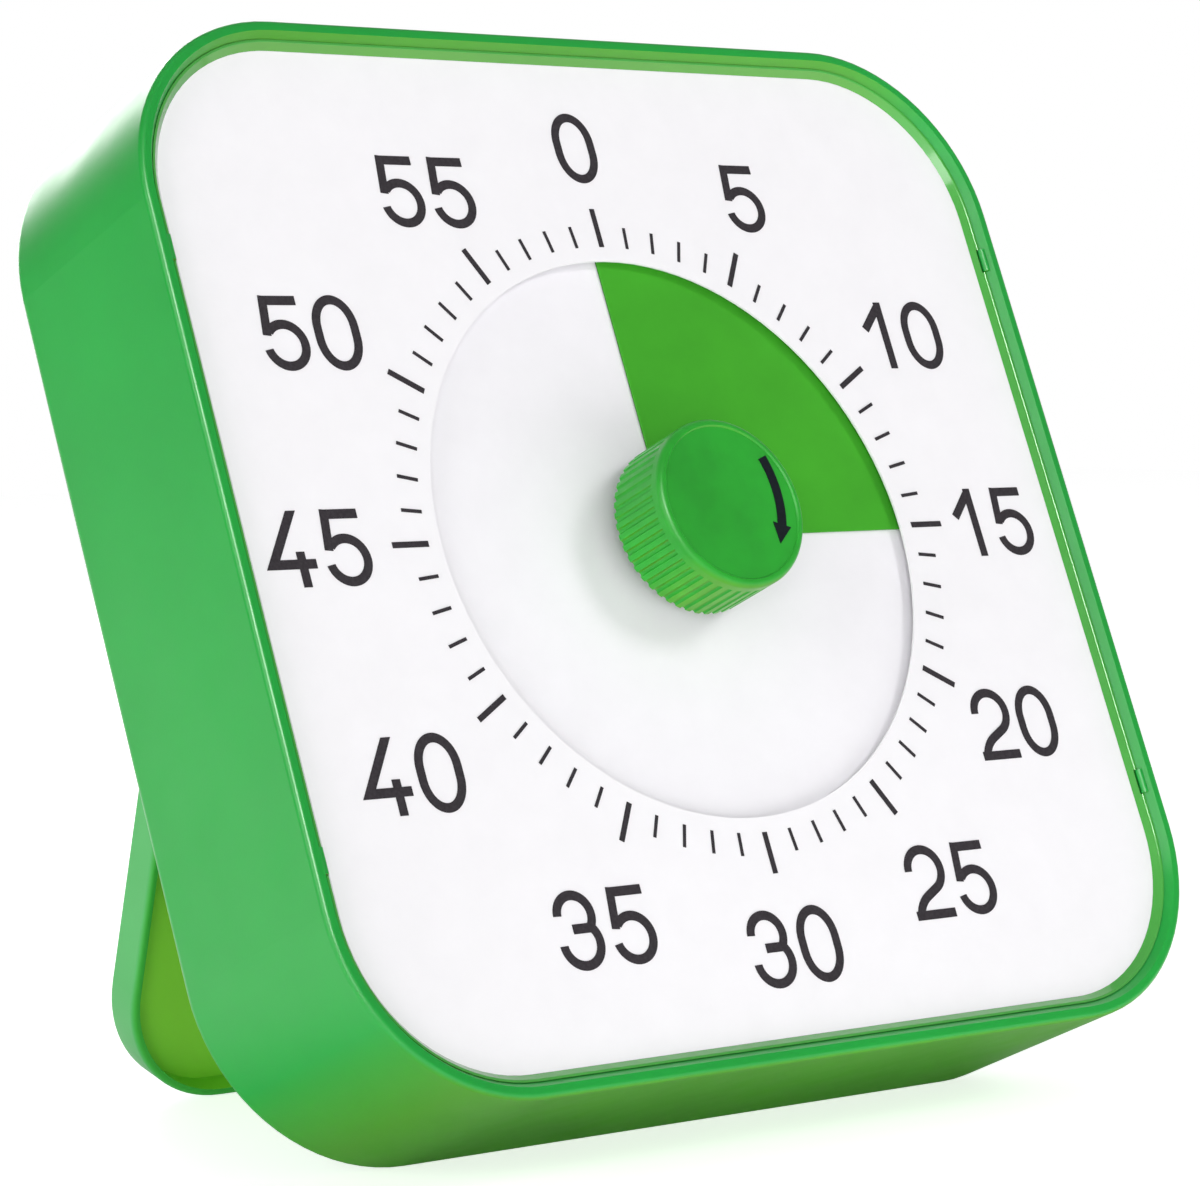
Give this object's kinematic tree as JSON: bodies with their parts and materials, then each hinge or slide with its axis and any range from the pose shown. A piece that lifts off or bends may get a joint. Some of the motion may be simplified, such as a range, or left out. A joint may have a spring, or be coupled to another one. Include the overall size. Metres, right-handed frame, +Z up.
{
  "type": "visual countdown timer",
  "caption": "Square desk timer on a fold-out stand: a knob draws a coloured film out from behind a round window to show the minutes left, and a clockwork-style motor winds it back.",
  "frame": {"origin": "middle of the footprint on the surface that the timer stands on, with the stand folded out", "axes": "+Z up, the dial faces -Y and leans back, +X to the right of someone facing the dial"},
  "size_m": [0.19, 0.1246, 0.1913],
  "materials": {
    "green_plastic": "satin green moulding",
    "film_green": "printed green film",
    "dial_white": "satin white sheet",
    "dial_print": "dark grey print",
    "arrow_print": "near-black print",
    "black_plastic": "moulded black",
    "grey_plastic": "moulded grey",
    "gear_plastic": "natural acetal",
    "steel": "bright steel",
    "nickel": "nickel plated",
    "copper": "enamelled copper wire",
    "board_green": "solder mask",
    "cell_jacket": "plain printed jacket",
    "lead_jacket": "red flexible insulation"
  },
  "bodies": {
    "casing": {"front_casing": "green_plastic", "rear_cover": "green_plastic", "dial_ring": "green_plastic", "dial_plate": "dial_white", "dial_numerals": "dial_print", "minute_marks": "dial_print", "backing_plate": "dial_white", "white_disc": "dial_white", "movement_case": "black_plastic", "movement_lid": "black_plastic", "stator": "steel", "motor_coil": "copper", "alarm_contact": "nickel", "circuit_board": "board_green", "timer_chip": "black_plastic", "quartz_crystal": "nickel", "buzzer": "black_plastic", "switch_body": "black_plastic", "battery": "cell_jacket", "battery_contact": "nickel", "battery_spring": "nickel", "battery_leads": "lead_jacket", "buzzer_leads": "lead_jacket", "switch_leads": "lead_jacket", "motor_leads": "lead_jacket", "kickstand_pins": "steel", "cover_screws": "steel", "movement_screws": "steel", "board_screws": "steel"},
    "knob": {"knob": "green_plastic", "knob_arrow": "arrow_print", "film_hub": "black_plastic", "drive_shaft": "steel", "colour_film": "film_green", "alarm_cam": "gear_plastic", "clutch_spring": "steel"},
    "rotor": {"rotor": "grey_plastic"},
    "intermediate_wheel": {"intermediate_wheel": "gear_plastic"},
    "fourth_wheel": {"fourth_wheel": "gear_plastic"},
    "third_wheel": {"third_wheel": "gear_plastic"},
    "centre_wheel": {"centre_wheel": "gear_plastic"},
    "kickstand": {"kickstand": "green_plastic"},
    "battery_door": {"battery_door": "green_plastic"},
    "sound_switch": {"sound_switch": "black_plastic"}
  },
  "joints": [
    {"name": "knob_turn", "type": "hinge", "parent": "casing", "child": "knob", "pos_m": [0, -0.02336, 0.10296], "axis": [0, 0.9219, -0.3875], "range_deg": [-90, 270], "deforming": ["colour_film"]},
    {"name": "rotor_spin", "type": "hinge", "parent": "casing", "child": "rotor", "pos_m": [-0.00121, -0.02166, 0.08585], "axis": [0, 0.9219, -0.3875], "continuous": true},
    {"name": "intermediate_spin", "type": "hinge", "parent": "casing", "child": "intermediate_wheel", "pos_m": [-0.00882, -0.02028, 0.08912], "axis": [0, 0.9219, -0.3875], "continuous": true},
    {"name": "fourth_spin", "type": "hinge", "parent": "casing", "child": "fourth_wheel", "pos_m": [-0.01372, -0.01699, 0.09694], "axis": [0, 0.9219, -0.3875], "continuous": true},
    {"name": "third_spin", "type": "hinge", "parent": "casing", "child": "third_wheel", "pos_m": [-0.00965, -0.01266, 0.10725], "axis": [0, 0.9219, -0.3875], "continuous": true},
    {"name": "centre_spin", "type": "hinge", "parent": "casing", "child": "centre_wheel", "pos_m": [0, -0.0158, 0.09978], "axis": [0, 0.9219, -0.3875], "continuous": true},
    {"name": "kickstand_fold", "type": "hinge", "parent": "casing", "child": "kickstand", "pos_m": [0, 0.02525, 0.12234], "axis": [-1, 0, 0], "range_deg": [0, 38.2]},
    {"name": "battery_door_open", "type": "hinge", "parent": "casing", "child": "battery_door", "pos_m": [0, 0.04301, 0.15425], "axis": [1, 0, 0], "range_deg": [0, 60]},
    {"name": "sound_switch_slide", "type": "slide", "parent": "casing", "child": "sound_switch", "axis": [1, 0, 0], "range_m": [0, 0.006]}
  ],
  "couplings": [
    {"joint": "intermediate_spin", "follows": "rotor_spin", "ratio": -0.2},
    {"joint": "fourth_spin", "follows": "rotor_spin", "ratio": 0.033333},
    {"joint": "third_spin", "follows": "rotor_spin", "ratio": -0.0044444},
    {"joint": "centre_spin", "follows": "rotor_spin", "ratio": 0.00055556}
  ]
}
